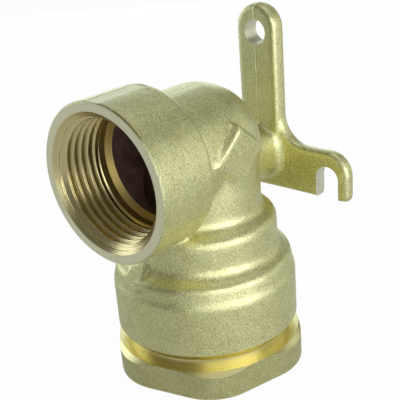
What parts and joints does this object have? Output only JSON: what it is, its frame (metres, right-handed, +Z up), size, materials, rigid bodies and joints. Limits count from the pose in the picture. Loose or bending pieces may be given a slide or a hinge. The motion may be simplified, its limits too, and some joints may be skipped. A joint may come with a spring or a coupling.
{
  "type": "wall plate elbow",
  "caption": "Forged brass pipe elbow on a wall plate, with a threaded female socket in front and a screwed nut below that clamps and seals a plastic pipe.",
  "frame": {"origin": "on the pipe axis, at the lower face of the nut", "axes": "+Z up along the pipe axis, -Y out of the threaded socket, +Y into the wall, +X to the right seen from the front"},
  "size_m": [0.0556, 0.064, 0.0908],
  "materials": {
    "forged_brass": "sand-blasted hot-forged brass, with turned bright brass in the socket and at the lower end",
    "nut_brass": "sand-blasted hexagon, turned bright brass on the collar, top face and sleeve",
    "ring_plastic": "moulded natural acetal",
    "seal_rubber": "moulded black rubber"
  },
  "bodies": {
    "elbow": {"body": "forged_brass", "support_ring": "ring_plastic", "seal_ring": "seal_rubber"},
    "grip": {"clamp_ring": "ring_plastic"},
    "nut": {"nut": "nut_brass"}
  },
  "joints": [
    {"name": "nut_advance", "type": "slide", "parent": "elbow", "child": "grip", "axis": [0, 0, 1], "range_m": [-0.008, 0]},
    {"name": "nut_turn", "type": "hinge", "parent": "grip", "child": "nut", "pos_m": [0, 0, 0.004], "axis": [0, 0, 1], "range_deg": [-1440, 0]}
  ],
  "couplings": [
    {"joint": "nut_advance", "follows": "nut_turn", "m_per_rad": 0.00031831}
  ]
}
